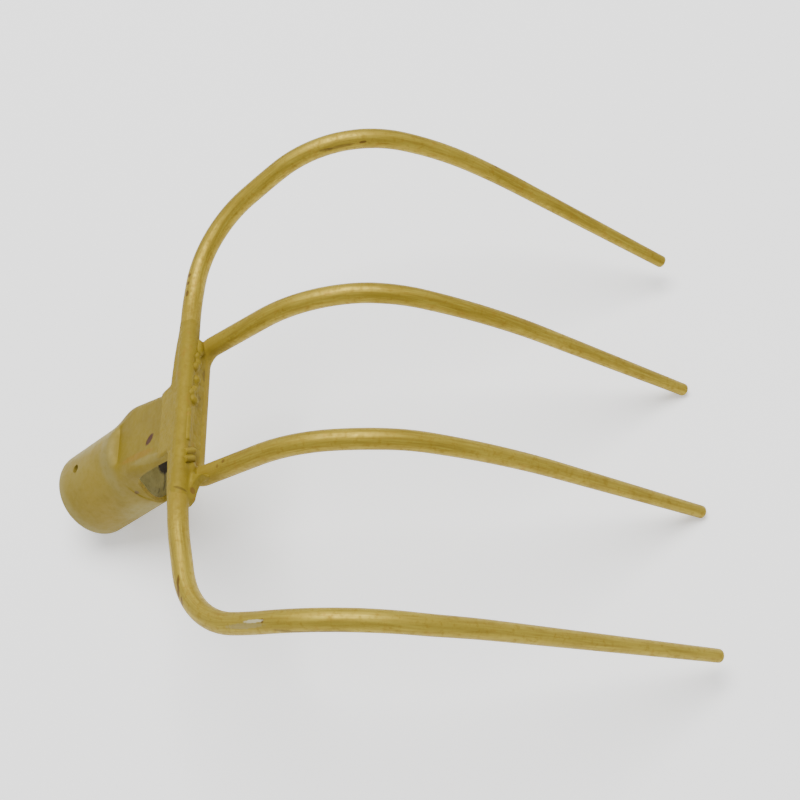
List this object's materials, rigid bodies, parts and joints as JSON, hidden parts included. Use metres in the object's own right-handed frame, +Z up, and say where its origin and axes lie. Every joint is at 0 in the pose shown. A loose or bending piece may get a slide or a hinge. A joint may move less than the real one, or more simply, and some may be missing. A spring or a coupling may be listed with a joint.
{
  "type": "bent tine fork head",
  "caption": "Head of an old farm fork: round tapered tines bent over into hooks, welded to a formed tube socket for a wooden handle, all brushed with gold paint.",
  "frame": {"origin": "centre of the bounding box at the bottom: the head stands as an arch on the ends of its middle tines and on the rim of its socket", "axes": "+Z up, +Y from the socket towards the tine ends, +X across the tines"},
  "size_m": [0.258, 0.3152, 0.1236],
  "materials": {
    "rod_gold": "brushed-on gold paint over round steel rod, satin, with chips and rust specks",
    "socket_gold": "thin dull gold paint over steel tube, greyer where it has rubbed, bare steel inside",
    "weld_gold": "gold paint over rough weld metal"
  },
  "bodies": {
    "root": {"socket": "socket_gold", "outer_tine_rod": "rod_gold", "inner_tine_rod": "rod_gold", "socket_weld": "weld_gold", "side_weld": "weld_gold", "under_weld": "weld_gold", "groove_weld": "weld_gold", "groove_tack": "weld_gold", "left_root_weld": "weld_gold", "right_root_weld": "weld_gold"}
  },
  "joints": []
}
